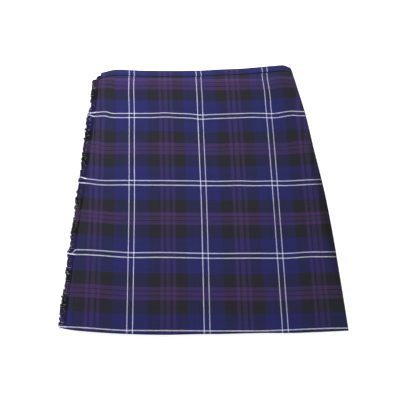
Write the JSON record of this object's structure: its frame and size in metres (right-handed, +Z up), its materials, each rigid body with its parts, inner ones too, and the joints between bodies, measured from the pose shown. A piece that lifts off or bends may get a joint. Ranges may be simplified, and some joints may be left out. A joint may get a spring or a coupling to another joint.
{
  "type": "tartan kilt",
  "caption": "Knee-length tartan wrap skirt, fastened and laid flat on its pleated back, with a plain over apron, fringed free edge and narrow waistband.",
  "frame": {"origin": "middle of the kilt's outline, on the surface it is laid on", "axes": "+X to the fold beside the over apron, -X to the fringed edge, +Y from hem to waist, +Z up through the layers"},
  "size_m": [0.6036, 0.6263, 0.0153],
  "materials": {
    "tartan_apron": "worsted twill, blue, black and purple check with paired white lines",
    "tartan_lower": "the same worsted twill",
    "tartan_pleats": "the same worsted twill, pressed in knife pleats",
    "tartan_band": "the same worsted twill, doubled and pressed",
    "tartan_band_lower": "the same worsted twill, doubled and pressed",
    "tartan_band_back": "the same worsted twill, doubled and pressed",
    "yarn": "loose worsted yarn in the weft's colours",
    "hook_tape": "black woven hook tape",
    "loop_tape": "black brushed loop tape"
  },
  "bodies": {
    "root": {"over_apron": "tartan_apron", "under_apron": "tartan_lower", "pleated_back": "tartan_pleats", "waistband_over": "tartan_band", "waistband_under": "tartan_band_lower", "waistband_back": "tartan_band_back", "fringe": "yarn", "hook_tape_left": "hook_tape", "hook_tape_right": "hook_tape", "loop_tape_left": "loop_tape", "loop_tape_right": "loop_tape"}
  },
  "joints": []
}
